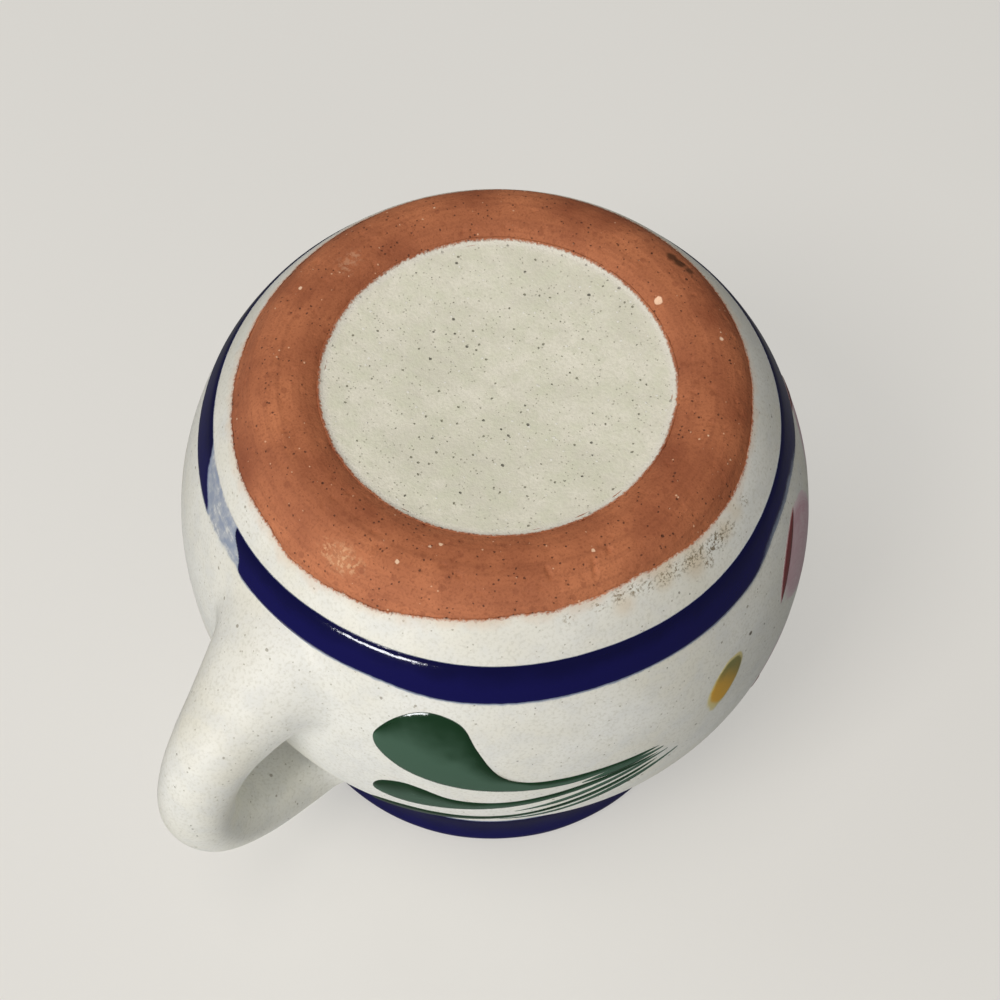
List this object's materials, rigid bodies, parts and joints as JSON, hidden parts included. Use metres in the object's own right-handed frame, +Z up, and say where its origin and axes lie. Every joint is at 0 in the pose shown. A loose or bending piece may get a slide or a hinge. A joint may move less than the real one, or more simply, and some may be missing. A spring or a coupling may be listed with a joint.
{
  "type": "clay mug",
  "caption": "Small round-bellied clay mug with a loop handle, bare foot ring, white glaze and blue lip and foot bands with a brushed flower spray.",
  "frame": {"origin": "centre of the foot ring on the table plane, on the mug's turning axis", "axes": "+Z up the turning axis towards the lip, +X from the axis towards the handle"},
  "size_m": [0.109, 0.09, 0.0813],
  "materials": {
    "terracotta": "bare fired terracotta, matt, sanded foot ring",
    "slip": "dried and fired joining slip, matt",
    "white_glaze": "opaque white tin glaze, satin, fine pinholes",
    "base_glaze": "thin grey-cream dry glaze wash, matt, pitted",
    "cobalt_slip": "raised cobalt blue brushwork, glossy",
    "leaf_green": "raised dark green brushwork, glossy, streaked",
    "bud_yellow": "thin yellow brushwork with an olive edge, satin",
    "petal_pink": "thin pink brush wash, satin",
    "petal_red": "dark red brushwork, satin"
  },
  "bodies": {
    "root": {"clay_body": "terracotta", "handle_clay": "terracotta", "lower_luting": "slip", "upper_luting": "slip", "outside_glaze": "white_glaze", "inside_glaze": "white_glaze", "handle_glaze": "white_glaze", "base_glaze": "base_glaze", "foot_band": "cobalt_slip", "lip_band": "cobalt_slip", "large_leaf": "leaf_green", "middle_leaf": "leaf_green", "small_leaf": "leaf_green", "leaf_tails": "leaf_green", "bud": "bud_yellow", "petal_wash": "petal_pink", "petal_strokes": "petal_red", "flower_heart": "bud_yellow", "far_large_leaf": "leaf_green", "far_middle_leaf": "leaf_green", "far_small_leaf": "leaf_green", "far_leaf_tails": "leaf_green", "far_bud": "bud_yellow"}
  },
  "joints": []
}
